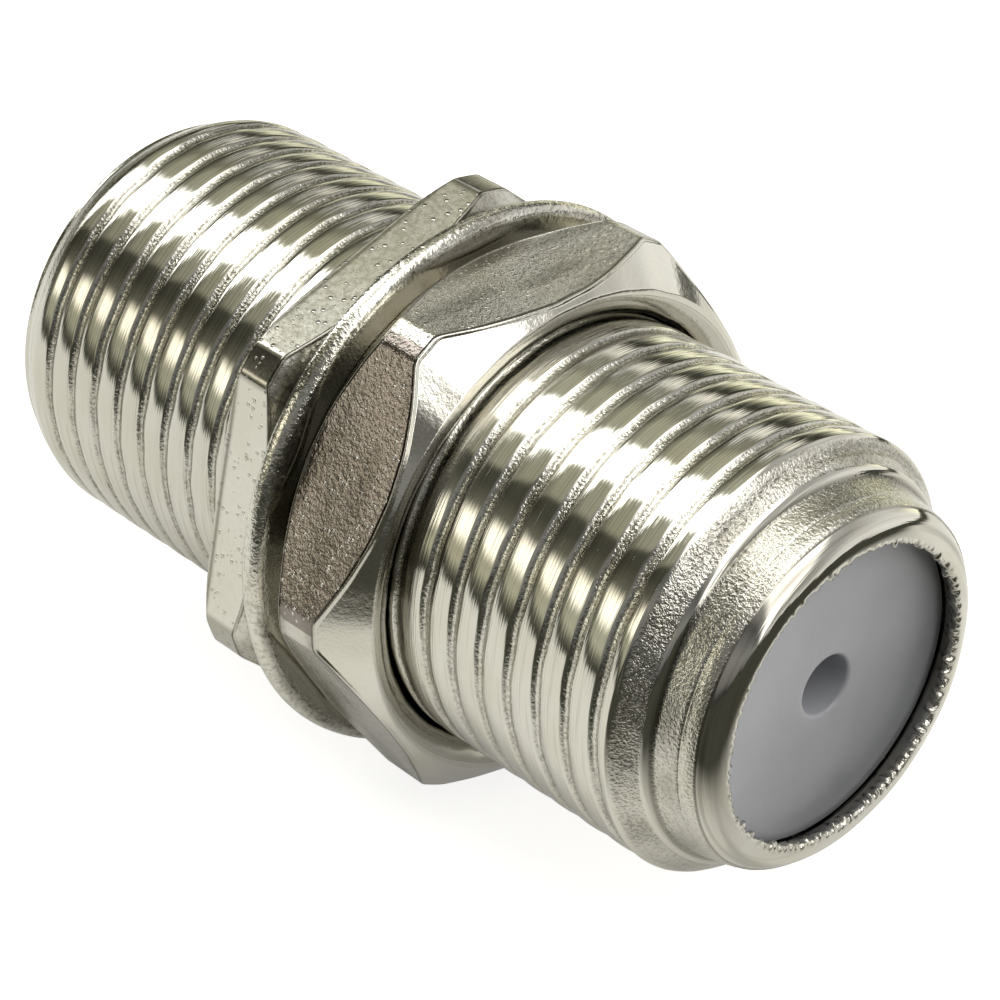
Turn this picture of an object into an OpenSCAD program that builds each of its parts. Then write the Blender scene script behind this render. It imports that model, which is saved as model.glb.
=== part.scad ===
// Bulkhead coupler with a threaded socket at each end, a hex flange between
// them, and a washer and hex nut on the long barrel. Millimetres. The axis is X,
// the long barrel points to +X, and the origin is on the axis in the flange's
// seat face, where the panel or the washer bears.

/* [Thread] */
// Crest diameter of both outer threads
thread_d = 9.525; // [7.9:0.005:12]
// Pitch of both outer threads
pitch = 0.79375; // [0.5:0.00125:1]

/* [Barrels] */
// Length of the long barrel, from the seat face to the rolled lip
long_barrel = 10.95; // [9:0.05:20]
// Length of the short barrel, from the flange's back to its end
short_barrel = 8.05; // [6.5:0.05:20]
// Length of the chamfer at the short barrel's end
end_chamfer = 1; // [0.4:0.05:1.2]
// Metal left between the thread's root and the bore
barrel_wall = 0.825; // [0.6:0.005:1.2]
// Length of the plain neck under the washer, in pitches
neck_turns = 1.5; // [1:0.25:2]
// Thickness of the short barrel's end wall
end_wall = 0.65; // [0.4:0.05:1.2]
// Width of the ledge that the end wall makes inside the bore
end_ledge = 0.45; // [0.3:0.05:0.7]

/* [Nose] */
// Length from the last full thread to the rolled lip's end
nose_l = 1.9; // [1.6:0.05:3]
// Length of the cone where the thread runs out
run_out_l = 0.55; // [0.4:0.05:0.8]
// Step from the thread's root down to the nose
nose_step = 0.17; // [0.05:0.01:0.25]
// Narrowing of the nose towards the lip
nose_taper = 0.1; // [0:0.01:0.15]
// Radius that the nose rolls over to make the lip
lip_r = 0.7; // [0.5:0.01:0.75]
// How far the lip reaches in over the insulator
lip_over = 0.23; // [0.15:0.01:0.3]
// Thickness of the lip at its inner edge
lip_edge = 0.2; // [0.1:0.01:0.4]

/* [Hex flange] */
// Rise of the hex flats above the thread's crest
flat_rise = 0.79375; // [0.6:0.00125:3]
// Thickness of the flange
flange_t = 1.5; // [1:0.05:4]
// Turn of the flange's hex against the nut's flats
flange_turn = 17.5; // [0:0.5:60]
// Height rounded off the hex corners
corner_cut = 0.18; // [0.05:0.01:0.25]
// Slope of the chamfer on the flange's seat side
flange_slope = 30; // [15:1:40]

/* [Nut and washer] */
// Thickness of the nut
nut_t = 2.7; // [2:0.05:5]
// Slope of the chamfers on both of the nut's faces
nut_slope = 45; // [15:1:45]
// Running gap between the nut and the thread's crest, on the radius
nut_gap = 0.05; // [0.02:0.01:0.09]
// Depth of the countersinks at the nut's bore
sink_depth = 0.3; // [0.1:0.05:0.5]
// Width of the countersinks at the nut's bore
sink_w = 0.4; // [0.2:0.05:0.5]
// Thickness of the washer
washer_t = 0.5; // [0.3:0.05:1.5]
// Rise of the washer's rim above the thread's crest
washer_rise = 1.4375; // [1:0.0125:4]
// Gap between the washer and the thread's crest, on the radius
washer_gap = 0.19; // [0.05:0.01:0.4]
// Bevel on the washer's edges
washer_bevel = 0.1; // [0.05:0.01:0.14]

/* [Insulators] */
// Diameter of the guide holes for the centre conductor
guide_d = 1.3; // [1.1:0.05:1.6]
// Thickness of the plastic around each guide hole
guide_wall = 1.3; // [0.8:0.05:2]
// Depth of the funnel at the mouth of each guide hole
funnel_l = 0.1; // [0.05:0.05:0.4]
// How far the front insulator's face lies inside the lip
face_recess = 0.55; // [0.5:0.01:0.8]
// How far the rear insulator's boss stands into the end wall
boss_l = 0.25; // [0.1:0.05:0.35]
// Gap between the insulators and the bore, on the radius
bore_gap = 0.03; // [0.01:0.01:0.06]

/* [Contact] */
// Diameter of the contact's two sleeves
sleeve_d = 2.5; // [2.1:0.05:3]
// Bore of the sleeves behind their tips
sleeve_bore = 1.5; // [1.3:0.05:1.7]
// Bore of the closed tips that grip the conductor
grip_d = 0.94; // [0.8:0.01:1]
// Length of the necked tips
grip_l = 1.2; // [0.8:0.05:1.6]
// How far the tips neck in, on the radius
grip_neck = 0.15; // [0.05:0.01:0.2]
// Diameter of the collar that the insulators trap
collar_d = 4; // [3.4:0.05:4.8]
// Thickness of the collar
collar_t = 1; // [0.6:0.05:2]
// Number of cuts across each sleeve; each makes two slots
slot_cuts = 2; // [1:1:3]
// Width of the slots between the spring tines
slot_w = 0.3; // [0.15:0.01:0.4]
// Length of the slots
slot_l = 4.5; // [3:0.1:5]
// Gap around the contact in its pocket
contact_gap = 0.15; // [0.05:0.01:0.25]

/* [Hidden] */
$fn = 96;
skin = 0.01;                                  // overlap that makes cuts run clear
thread_r = thread_d / 2;
thread_depth = 0.61343 * pitch;               // unified external thread
root_r = thread_r - thread_depth;
bore_r = root_r - barrel_wall;
nose_r = root_r - nose_step;
nose_end_r = nose_r - nose_taper;
neck_l = neck_turns * pitch;
thread_end = long_barrel - nose_l;
back_face = -flange_t;
back_end = back_face - short_barrel;
ledge_x = back_end + end_wall;
opening_r = bore_r - end_ledge;
lip_x = long_barrel - lip_r;                  // where the nose starts to roll in
lip_in_r = bore_r - lip_over;
flat_r = thread_r + flat_rise;
corner_r = flat_r / cos(30) - corner_cut;
face_r = flat_r - 0.15;                       // flat ring inside the hex chamfers
flange_chamfer_l = (corner_r - face_r) * tan(flange_slope);
nut_chamfer_l = (corner_r - face_r) * tan(nut_slope);
edge_break = 0.12;                            // small bevel on the flange's back edge
nut_bore_r = thread_r + nut_gap;
washer_r = thread_r + washer_rise;
washer_bore_r = thread_r + washer_gap;
plug_r = bore_r - bore_gap;
front_face = long_barrel - face_recess;
boss_r = opening_r - bore_gap;
rear_face = ledge_x - boss_l;
seam_x = (front_face + rear_face) / 2;        // where the two insulators meet
guide_r = guide_d / 2;
sleeve_r = sleeve_d / 2;
collar_r = collar_d / 2;
cavity_r = sleeve_r + contact_gap;
pocket_r = collar_r + contact_gap;
pocket_half = collar_t / 2 + bore_gap;
front_tip = front_face - guide_wall - contact_gap;
rear_tip = rear_face + guide_wall + contact_gap;
web_t = collar_t;                             // solid wall between the sleeves' bores

// A section drawn as [radius, place along the axis], turned about X
module turned() {
    rotate([0, 90, 0]) rotate_extrude() children();
}

// A plain round bar along X from one place to another
module bar(r, from, to) {
    translate([from, 0, 0]) rotate([0, 90, 0]) cylinder(r = r, h = to - from);
}

// A hex prism along X, its first corner turned from straight down
module hex_bar(turn, from, to) {
    translate([from, 0, 0]) rotate([turn, 0, 0]) rotate([0, 90, 0])
        cylinder(r = flat_r / cos(30), h = to - from, $fn = 6);
}

// Everything that turning leaves outside the bore of the body
module body_outline() {
    // short barrel, with a chamfer down to the root at its end
    polygon([
        [0, back_end], [root_r, back_end], [thread_r, back_end + end_chamfer],
        [thread_r, back_face + skin], [0, back_face + skin]
    ]);
    // neck, thread, run-out cone, step and tapered nose of the long barrel
    polygon([
        [0, -skin], [root_r, -skin], [root_r, neck_l],
        [thread_r, neck_l + thread_depth / 2], [thread_r, thread_end],
        [root_r, thread_end + run_out_l], [nose_r, thread_end + run_out_l],
        [nose_end_r, lip_x], [0, lip_x]
    ]);
    // the nose's end, rolled in
    translate([nose_end_r - lip_r, lip_x]) circle(r = lip_r);
}

// Bore from the ledge to the lip's underside, and the smaller opening behind
module body_bore() {
    polygon([
        [0, back_end - skin], [opening_r, back_end - skin], [opening_r, ledge_x],
        [bore_r, ledge_x], [bore_r, front_face - bore_gap],
        [lip_in_r, long_barrel - lip_edge], [lip_in_r, long_barrel + skin],
        [0, long_barrel + skin]
    ]);
}

// Turned envelope of the flange: chamfered towards the seat, sharp behind
module flange_envelope() {
    polygon([
        [0, back_face], [corner_r - edge_break, back_face],
        [corner_r, back_face + edge_break], [corner_r, -flange_chamfer_l],
        [face_r, 0], [0, 0]
    ]);
}

// Die-cast shell: two threaded barrels, hex flange, stepped bore, rolled lip
module body() {
    color("silver") difference() {
        union() {
            turned() body_outline();
            intersection() {
                hex_bar(flange_turn - 30, back_face - skin, skin);
                turned() flange_envelope();
            }
        }
        turned() body_bore();
    }
}

// Flat washer against the seat face
module washer() {
    color("gainsboro") turned() polygon([
        [washer_bore_r, 0], [washer_r - washer_bevel, 0], [washer_r, washer_bevel],
        [washer_r, washer_t - washer_bevel], [washer_r - washer_bevel, washer_t],
        [washer_bore_r, washer_t]
    ]);
}

// Turned envelope of the nut, with chamfers at both faces
module nut_envelope() {
    polygon([
        [0, 0], [face_r, 0], [corner_r, nut_chamfer_l],
        [corner_r, nut_t - nut_chamfer_l], [face_r, nut_t], [0, nut_t]
    ]);
}

// Bore of the nut with a countersink at each mouth
module nut_bore() {
    polygon([
        [0, -skin], [nut_bore_r + sink_w, -skin], [nut_bore_r + sink_w, 0],
        [nut_bore_r, sink_depth], [nut_bore_r, nut_t - sink_depth],
        [nut_bore_r + sink_w, nut_t], [nut_bore_r + sink_w, nut_t + skin],
        [0, nut_t + skin]
    ]);
}

// Hex nut, flats level with the ground, seated on the washer
module nut() {
    color("lightgray") translate([washer_t, 0, 0]) difference() {
        intersection() {
            hex_bar(-30, -skin, nut_t + skin);
            turned() nut_envelope();
        }
        turned() nut_bore();
    }
}

// Bored plastic half: guide hole and funnel, contact cavity, half the pocket.
// side is +1 towards the long barrel's face, -1 towards the short one's.
module insulator_bore(face, side) {
    polygon([
        [0, face + side * skin], [guide_r + funnel_l, face + side * skin],
        [guide_r + funnel_l, face], [guide_r, face - side * funnel_l],
        [guide_r, face - side * guide_wall], [cavity_r, face - side * guide_wall],
        [cavity_r, seam_x + side * pocket_half], [pocket_r, seam_x + side * pocket_half],
        [pocket_r, seam_x - side * skin], [0, seam_x - side * skin]
    ]);
}

// Front half, held under the rolled lip
module front_insulator() {
    color("whitesmoke") turned() difference() {
        polygon([
            [0, seam_x], [plug_r, seam_x], [plug_r, front_face], [0, front_face]
        ]);
        insulator_bore(front_face, 1);
    }
}

// Rear half, its boss standing in the end wall's opening
module rear_insulator() {
    color("whitesmoke") turned() difference() {
        polygon([
            [0, rear_face], [boss_r, rear_face], [boss_r, ledge_x], [plug_r, ledge_x],
            [plug_r, seam_x], [0, seam_x]
        ]);
        insulator_bore(rear_face, -1);
    }
}

// One sleeve of the contact's section, from the collar's middle to the tip
module sleeve_section(tip, side) {
    polygon([
        [0, seam_x], [sleeve_r, seam_x], [sleeve_r, tip - side * grip_l],
        [sleeve_r - grip_neck, tip - side * grip_l / 2], [sleeve_r - grip_neck, tip],
        [grip_d / 2, tip], [grip_d / 2, tip - side * grip_l / 2],
        [sleeve_bore / 2, tip - side * grip_l], [sleeve_bore / 2, seam_x + side * web_t / 2],
        [0, seam_x + side * web_t / 2]
    ]);
}

// Crossed cuts that part one sleeve into spring tines
module tine_cuts(tip, side) {
    middle = tip - side * (slot_l - skin) / 2;
    for (i = [0 : slot_cuts - 1]) translate([middle, 0, 0])
        rotate([i * 180 / slot_cuts, 0, 0])
            cube([slot_l + skin, slot_w, sleeve_d + 1], center = true);
}

// Double-ended spring contact with its collar
module contact() {
    color("goldenrod") difference() {
        union() {
            turned() sleeve_section(front_tip, 1);
            turned() sleeve_section(rear_tip, -1);
            bar(collar_r, seam_x - collar_t / 2, seam_x + collar_t / 2);
        }
        tine_cuts(front_tip, 1);
        tine_cuts(rear_tip, -1);
    }
}

body();
washer();
nut();
front_insulator();
rear_insulator();
contact();
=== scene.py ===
# %% [markdown]
# # A bulkhead coupler for coaxial cable, in plated metal
#
# The real thing is a small die casting: two threaded barrels and a hex flange between
# them, with a washer, a hex nut, and a pale plastic face inside each end. The packed
# model holds every piece at its true size. This lesson gives them their looks: real
# threads, rolled edges, cast grain and nickel plating.

# %% Load the frame
import math

import bpy
import numpy as np
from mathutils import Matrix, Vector


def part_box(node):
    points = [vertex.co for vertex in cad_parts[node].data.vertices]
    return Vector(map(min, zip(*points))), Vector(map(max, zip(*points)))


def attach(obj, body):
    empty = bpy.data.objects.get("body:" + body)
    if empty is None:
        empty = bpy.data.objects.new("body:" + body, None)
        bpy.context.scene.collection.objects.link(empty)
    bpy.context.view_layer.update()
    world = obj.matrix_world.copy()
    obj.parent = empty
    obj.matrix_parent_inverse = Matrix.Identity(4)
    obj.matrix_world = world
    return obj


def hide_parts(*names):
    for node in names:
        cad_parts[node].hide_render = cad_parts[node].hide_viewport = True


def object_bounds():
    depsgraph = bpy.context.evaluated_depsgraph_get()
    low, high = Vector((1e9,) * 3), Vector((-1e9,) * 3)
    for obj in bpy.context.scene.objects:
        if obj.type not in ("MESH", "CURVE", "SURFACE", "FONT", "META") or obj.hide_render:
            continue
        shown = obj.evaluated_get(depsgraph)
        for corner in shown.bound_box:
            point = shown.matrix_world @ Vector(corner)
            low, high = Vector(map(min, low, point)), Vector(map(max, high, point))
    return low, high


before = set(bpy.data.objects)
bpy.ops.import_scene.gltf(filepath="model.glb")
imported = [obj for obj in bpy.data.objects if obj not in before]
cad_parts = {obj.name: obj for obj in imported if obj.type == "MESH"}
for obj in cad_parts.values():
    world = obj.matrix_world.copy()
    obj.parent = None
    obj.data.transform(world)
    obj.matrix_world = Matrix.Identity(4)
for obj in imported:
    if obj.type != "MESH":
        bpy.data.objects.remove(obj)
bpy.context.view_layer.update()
MM = 0.001

# %% [markdown]
# ## Sizes
#
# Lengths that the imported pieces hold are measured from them, so that the detailed
# surfaces land where the solids are. The few sizes that a box can't tell, such as the
# depth of the thread, are named here in millimetres.

# %% Sizes in millimetres
def span_mm(node):
    """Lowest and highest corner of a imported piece, in millimetres."""
    low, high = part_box(node)
    return np.array(low) / MM, np.array(high) / MM


body_low, body_high = span_mm("body")
washer_low, washer_high = span_mm("washer")
nut_low, nut_high = span_mm("nut")
face_low, face_high = span_mm("front_insulator")
rear_low, rear_high = span_mm("rear_insulator")

CREST = 4.7625  # radius of the thread's crest
PITCH = 0.79375  # one turn of the thread
ROOT = 4.2756  # radius of the plain neck and of the far end's face
BORE = 3.45  # radius of the bore
APOTHEM = 5.55625  # half the distance across the hex flats
CORNER = 6.235  # radius to which the hex corners are turned
FACE = 5.406  # radius of the flat ring inside the hex chamfers
FLANGE_T = 1.5  # thickness of the flange
FLANGE_TURN = 17.5  # turn of the flange's hex against the nut's, in degrees
BACK_END = body_low[0]
FRONT_END = body_high[0]
JOIN_X = -0.6  # where both barrels start, hidden inside the flange
NECK_END = 1.2  # where the plain neck next to the flange ends
THREAD_END = FRONT_END - 1.9  # where the full thread ends
SHOULDER = THREAD_END + 0.55  # foot of the cone on which the thread runs out
NOSE_END = 4.0056  # radius of the nose where it starts to roll in
LIP_R = 0.7  # radius that the nose rolls over
LIP_X = FRONT_END - LIP_R  # where the roll starts
LIP_IN = 3.22  # radius of the lip's inner edge
PLASTIC = face_high[0]  # where the near plastic face lies
print("body from", BACK_END, "to", FRONT_END, "mm, plastic at", PLASTIC)

# %% [markdown]
# ## Surfaces from grids
#
# Every piece here is turned, threaded or a hex, so its surface is one grid: an angle
# round the axis and a place along the section. The grid closes on itself both ways,
# like a doughnut, which leaves no open edge and no pole. numpy works out every point
# at once, and `foreach_set` puts the arrays into a mesh.

# %% Mesh from a closed grid
def grid_mesh(name, points, finish=None):
    """A closed surface from points[section, angle, xyz] in millimetres.

    Quad (i, j) joins points i, i + 1 and j, j + 1, and both directions wrap round. The
    volume inside is a sixth of the sum of the triple products of the triangles'
    corners; where it comes out negative, the faces look inwards and are turned over.
    finish holds one number per point for each named attribute.
    """
    rows, columns = points.shape[:2]
    index = np.arange(rows * columns).reshape(rows, columns)
    right, below = np.roll(index, -1, axis=1), np.roll(index, -1, axis=0)
    quads = np.stack([index, right, np.roll(right, -1, axis=0), below], -1).reshape(-1, 4)
    flat = points.reshape(-1, 3)
    a, b, c, d = (flat[quads[:, k]] for k in range(4))
    volume = np.sum(a * np.cross(b, c)) + np.sum(a * np.cross(c, d))
    if volume < 0:
        quads = quads[:, ::-1]
    mesh = bpy.data.meshes.new(name)
    mesh.vertices.add(len(flat))
    mesh.vertices.foreach_set("co", (flat.reshape(-1) * MM).astype(np.float32))
    mesh.loops.add(quads.size)
    mesh.loops.foreach_set("vertex_index", quads.reshape(-1).astype(np.int32))
    mesh.polygons.add(len(quads))
    mesh.polygons.foreach_set("loop_start", np.arange(0, quads.size, 4, dtype=np.int32))
    mesh.update(calc_edges=True)
    mesh.validate()
    mesh.polygons.foreach_set("use_smooth", np.ones(len(quads), bool))
    for label, values in (finish or {}).items():
        values = np.broadcast_to(values, (rows, columns)).astype(np.float32)
        mesh.attributes.new(label, "FLOAT", "POINT").data.foreach_set("value", values.reshape(-1))
    return mesh


def piece(name, mesh, body, node=None):
    """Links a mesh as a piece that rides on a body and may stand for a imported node."""
    made = bpy.data.objects.new(name, mesh)
    bpy.context.scene.collection.objects.link(made)
    if node:
        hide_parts(node)
    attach(made, body)
    print(name, 2 * len(mesh.polygons), "triangles")
    return made


def angles(count):
    """Evenly spaced angles round the axis, from +Y towards +Z, in radians, as one row."""
    return (np.arange(count) / count * 2 * np.pi)[None, :]


def turned(section, theta):
    """x and r over (section, angle) for a section of (x, r) points."""
    section = np.array(section, float)
    return [np.repeat(section[:, k:k + 1], theta.shape[1], axis=1) for k in (0, 1)]


def revolve(x, r, theta):
    """Points of a turned surface: x along the axis, r cos and r sin of the angle across."""
    x, r, theta = np.broadcast_arrays(x, r, theta)
    return np.stack([x, r * np.cos(theta), r * np.sin(theta)], -1)


# %% Small curves
def smooth_step(a, b, x):
    """0 before a, 1 after b, and a smooth S between them."""
    t = np.clip((x - a) / (b - a), 0, 1)
    return t * t * (3 - 2 * t)


def soft_min(a, b, soft):
    """The smaller of two arrays, rounded where they are within soft of each other."""
    h = np.clip(0.5 + 0.5 * (b - a) / soft, 0, 1)
    return b + (a - b) * h - soft * h * (1 - h)


def arc(centre, radius, start, end, count):
    """Points (x, r) on a circle about centre, between two angles in degrees."""
    t = np.radians(np.linspace(start, end, count))
    return np.stack([centre[0] + radius * np.cos(t), centre[1] + radius * np.sin(t)], 1)


def line(start, end, count):
    """Evenly spaced points (x, r) from start up to, but not at, end."""
    t = np.arange(count)[:, None] / count
    return np.array(start) + (np.array(end) - np.array(start)) * t


# %% [markdown]
# ## Smooth noise that closes round the axis
#
# A cast and plated surface is never quite true. Small waves with whole numbers of
# periods round the axis give every turn of the thread its own wobble and show no seam.

# %% Seeded waves
def waves(x, theta, seed, count, fast_x, fast_turn):
    """A sum of seeded sine waves over x (mm) and the angle, scaled to about +-1.

    Each wave has up to fast_x periods a millimetre and up to fast_turn periods a turn.
    """
    draw = np.random.default_rng(seed)
    total = 0.0
    for _ in range(count):
        along = draw.uniform(-fast_x, fast_x) * 2 * np.pi
        around = draw.integers(-fast_turn, fast_turn + 1)
        total = total + np.sin(along * x + around * theta + draw.uniform(0, 2 * np.pi))
    return total / math.sqrt(count)


# %% [markdown]
# ## The thread
#
# A screw thread is a ridge whose place along the axis moves by one pitch for each turn
# of the angle. So the height of the surface depends on one number only, the phase: x
# divided by the pitch, less the angle divided by a full turn. Whole numbers are the
# middles of the grooves. The thread was cast and then chased: broad crests, a little
# convex, and narrow rough grooves with one steep side.

# %% Height of the thread
# Distance from the groove's middle towards +X, and depth below the crest, in mm
PROFILE = np.array([
    (0.0, 0.088), (0.04, 0.084), (0.09, 0.060), (0.15, 0.028), (0.22, 0.010), (0.30, 0.001),
    (0.38, 0.0), (0.46, 0.003), (0.54, 0.009), (0.62, 0.016), (0.675, 0.023), (0.705, 0.052),
    (0.735, 0.084), (PITCH, 0.090)])
PROFILE_STEPS = 512
PROFILE_BLUR = 0.011  # width of the rounding along the axis, in mm
STEEP_FOOT = 0.735  # foot of the groove's steep side, along the profile, in mm


def rounded_profile():
    """The thread's profile at even steps, its corners rounded by a small Gaussian."""
    s = np.arange(PROFILE_STEPS) / PROFILE_STEPS * PITCH
    depth = np.interp(s, PROFILE[:, 0], PROFILE[:, 1])
    reach = np.arange(-24, 25)
    weight = np.exp(-0.5 * (reach * PITCH / PROFILE_STEPS / PROFILE_BLUR) ** 2)
    return s, sum(w * np.roll(depth, k) for w, k in zip(weight / weight.sum(), reach))


THREAD_S, THREAD_DEPTH = rounded_profile()
print("thread", round(THREAD_DEPTH.max(), 3), "mm deep, one turn in", PITCH, "mm")


def thread_at(x, theta, groove_at, seed):
    """Depth below the crest in mm, and how much of a groove and of a crease a point is.

    The phase is (x - groove_at) / pitch - angle / turn, with a slight wobble, and its
    fraction times the pitch is looked up in the rounded profile. The groove runs from 0
    to 1 with the depth. The crease is a narrow bell at the foot of the steep side.
    """
    wobble = 0.018 * waves(x, theta, seed, 36, 0.7, 30)
    phase = (x - groove_at) / PITCH - theta / (2 * np.pi) + wobble
    place = (phase % 1.0) * PITCH
    depth = np.interp(place, THREAD_S, THREAD_DEPTH, period=PITCH)
    patchy = 0.75 + 0.35 * waves(x, theta, seed + 1, 30, 1.0, 40)
    # The crease marks the groove's foot, where painted shade goes
    crease = np.exp(-((place - STEEP_FOOT) / 0.022) ** 2) * patchy
    return depth, smooth_step(0.026, 0.056, depth), np.clip(crease, 0, 1)


# %% [markdown]
# ## The long barrel
#
# Its section runs from inside the flange along the neck and the thread, down the
# run-out cone to a crisp shoulder, along the nose and back through the bore. The
# thread fades in after the neck, and its last groove climbs out over the cone, as a
# cut thread ends.

# %% Long barrel
START_TURN = 140 / 360  # place round the axis, in turns, from which the thread is set
NEAR_GROOVE = 7.05 - START_TURN * PITCH  # a groove's middle at the angle 0
FAR_GROOVE = -5.08 - START_TURN * PITCH  # the same on the short barrel
SHOULDER_RISE = 0.17  # drop from the run-out's foot to the nose


def near_section():
    """The section as (x, r): neck, thread, cone, shoulder, nose, and back inside."""
    nose_r = ROOT - SHOULDER_RISE
    return np.concatenate([
        line([JOIN_X, CREST], [NECK_END, CREST], 8),
        line([NECK_END, CREST], [THREAD_END, CREST], 278),
        line([THREAD_END, CREST], [SHOULDER - 0.04, ROOT + 0.02], 20),
        [[SHOULDER - 0.04, ROOT + 0.015], [SHOULDER - 0.01, ROOT + 0.01],
         [SHOULDER + 0.02, ROOT - 0.01], [SHOULDER + 0.05, ROOT - 0.05],
         [SHOULDER + 0.075, ROOT - 0.11], [SHOULDER + 0.11, nose_r + 0.012]],
        line([SHOULDER + 0.16, nose_r], [LIP_X - 0.05, NOSE_END + 0.012], 14),
        [[LIP_X - 0.04, NOSE_END + 0.01], [LIP_X - 0.015, NOSE_END - 0.005],
         [LIP_X, NOSE_END - 0.04], [LIP_X, BORE + 0.1], [LIP_X - 0.05, BORE]],
        line([LIP_X - 0.4, BORE], [JOIN_X, BORE], 6)])


def near_barrel_mesh():
    """The long barrel, threaded outside and plain inside.

    The section's radius, less the thread's depth where the thread has faded in, and
    less the neck's drop before it, plus small waves and a ridge along the shoulder.
    The darkening is a sum of bells: painted shade in the groove's crease and at the shoulder's foot, and
    patches of soil.
    """
    section = near_section()
    theta = angles(268)
    x, r = turned(section, theta)
    outer = r > BORE + 0.3
    depth, groove, crease = thread_at(x, theta, NEAR_GROOVE, 3)
    fade = smooth_step(NECK_END - 0.05, NECK_END + 0.3, x)
    fade = fade * (1 - smooth_step(THREAD_END + 0.15, SHOULDER - 0.1, x))
    neck = (CREST - ROOT) * (1 - smooth_step(NECK_END - 0.05, NECK_END + 0.25, x))
    runout = smooth_step(THREAD_END + 0.02, THREAD_END + 0.14, x)
    runout = runout * (1 - smooth_step(SHOULDER - 0.08, SHOULDER - 0.04, x))
    nose = smooth_step(SHOULDER + 0.06, SHOULDER + 0.12, x)
    ridge = 0.025 * np.exp(-((x - SHOULDER + 0.03) / 0.03) ** 2)
    lumps = 0.010 * waves(x, theta, 17, 40, 2.5, 60) * runout
    lumps = lumps + 0.005 * waves(x, theta, 18, 24, 1.2, 12) + ridge
    r = r - outer * (depth * fade + neck) + outer * lumps
    # Painted shade at the shoulder's foot and in the crease; the patches are soil
    foot = np.exp(-((x - SHOULDER - 0.09) / 0.03) ** 2)
    patches = np.clip(0.3 + 0.5 * waves(x, theta, 51, 30, 1.2, 18), 0, 1)
    return grid_mesh("long_barrel", revolve(x, r, theta), {
        "groove": groove * fade,
        "grain": runout + 0.7 * nose,
        "lines": 1 - runout - 0.8 * nose,
        "shade_and_soil": 0.38 * crease * fade + 0.8 * foot + 0.35 * patches * (runout + nose)})


long_barrel = piece("long_barrel", near_barrel_mesh(), "body", "body")

# %% [markdown]
# ## The rolled lip
#
# After the plastic is pushed in, the barrel's end is rolled over it with a hard tool.
# The tool presses a smooth track with a small step at its outer side, and the roll's
# inner edge tears into small burrs. It could be sculpted, but a turned section plus
# fast waves gives the same torn edge from a few numbers. A finer grid than the
# barrel's holds them.

# %% Lip
LIP_STEP = 61.0  # angle on the roll where the hard tool's smooth track starts
SKIN_IN = 0.004  # how far the cast skin lies inside the roll's radius
TRACK_IN = 0.022  # how far the tool's track is pressed inside it
EDGE_REACH = 0.16  # width of the torn band on either side of the inner edge
FOLD_AT = 98.0  # angle round the axis where the roll began, in degrees
STAIN_AT = 118.0  # angle round the axis of a brown stain on the track


def lip_mesh():
    """A ring of rolled metal: an arc outside, a torn inner edge, and a back inside.

    The arc keeps the nose's skin down to a small step, where the tool's track starts.
    The tear is a sum of fast waves round the axis, its positive side raised to a power
    so that burrs point inwards, and it grows towards the inner edge. One fold, a bell
    over a few degrees, is where the roll began. Painted shade lies in the step and among
    the burrs, and soil in streaks and a brown stain along the track.
    """
    centre = (LIP_X, NOSE_END - LIP_R)
    skin = arc(centre, LIP_R - SKIN_IN, 90, LIP_STEP + 3, 12)
    step_top = arc(centre, LIP_R + SKIN_IN, LIP_STEP + 1.2, LIP_STEP + 1, 1)
    track = arc(centre, LIP_R - TRACK_IN, LIP_STEP - 1, 6, 28)
    behind_edge = np.array([(0.03, 0.1), (0.05, 0.04), (0.09, 0.01), (0.15, 0.01), (0.22, 0.05),
                            (0.32, 0.11)])
    section = np.concatenate([
        [[LIP_X, NOSE_END - 0.3], [LIP_X - 0.005, NOSE_END - 0.1], [LIP_X - 0.01, NOSE_END - 0.015]],
        skin, step_top, track,
        np.stack([FRONT_END - behind_edge[:, 0], LIP_IN + behind_edge[:, 1]], 1),
        [[FRONT_END - 0.45, BORE - 0.06], [FRONT_END - 0.62, BORE]]])
    theta = angles(720)
    x, r = turned(section, theta)
    turn = np.degrees(np.arctan2(r - centre[1], x - centre[0]))
    on_skin = smooth_step(LIP_STEP - 0.5, LIP_STEP + 1.5, turn)
    near_edge = np.clip(1 - np.abs(r - LIP_IN) / EDGE_REACH, 0, 1) * (x > FRONT_END - 0.4)
    tear = np.clip(waves(x, theta, 41, 60, 1.5, 150), 0, 2) ** 1.6
    sag = waves(0 * x, theta, 42, 10, 0.1, 7)
    fold = np.exp(-((np.degrees(theta) - FOLD_AT) / 5) ** 2)
    r = r - near_edge * (0.045 * tear + 0.02 * sag - 0.02 + 0.09 * fold)
    x = x - near_edge * 0.035 * np.clip(waves(x, theta, 43, 60, 1.0, 130), -1.2, 1.2)
    r = r + 0.007 * waves(x, theta, 44, 40, 2.6, 12) * (x > LIP_X + 0.05) - 0.01 * (x > LIP_X + 0.02)
    # Painted shade in the step and among the burrs; the streaks and the stain are soil
    step = np.exp(-((turn - LIP_STEP) / 1.6) ** 2)
    stain = np.exp(-((np.degrees(theta) - STAIN_AT) / 15) ** 2)
    streaks = np.clip(waves(x, theta, 46, 40, 7.0, 5), 0, 1) + stain
    streaks = streaks * smooth_step(LIP_STEP, LIP_STEP - 6, turn) * smooth_step(16, 34, turn)
    burrs = near_edge * np.clip(waves(x, theta, 47, 60, 1.5, 120), 0, 1)
    return grid_mesh("rolled_lip", revolve(x, r, theta), {
        "grain": 0.7 * on_skin + 0.8 * near_edge,
        "lines": 0.6 * (1 - on_skin),
        "shade_and_soil": 0.8 * step + 0.4 * streaks + 0.5 * burrs})


rolled_lip = piece("rolled_lip", lip_mesh(), "body", "body")

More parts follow.
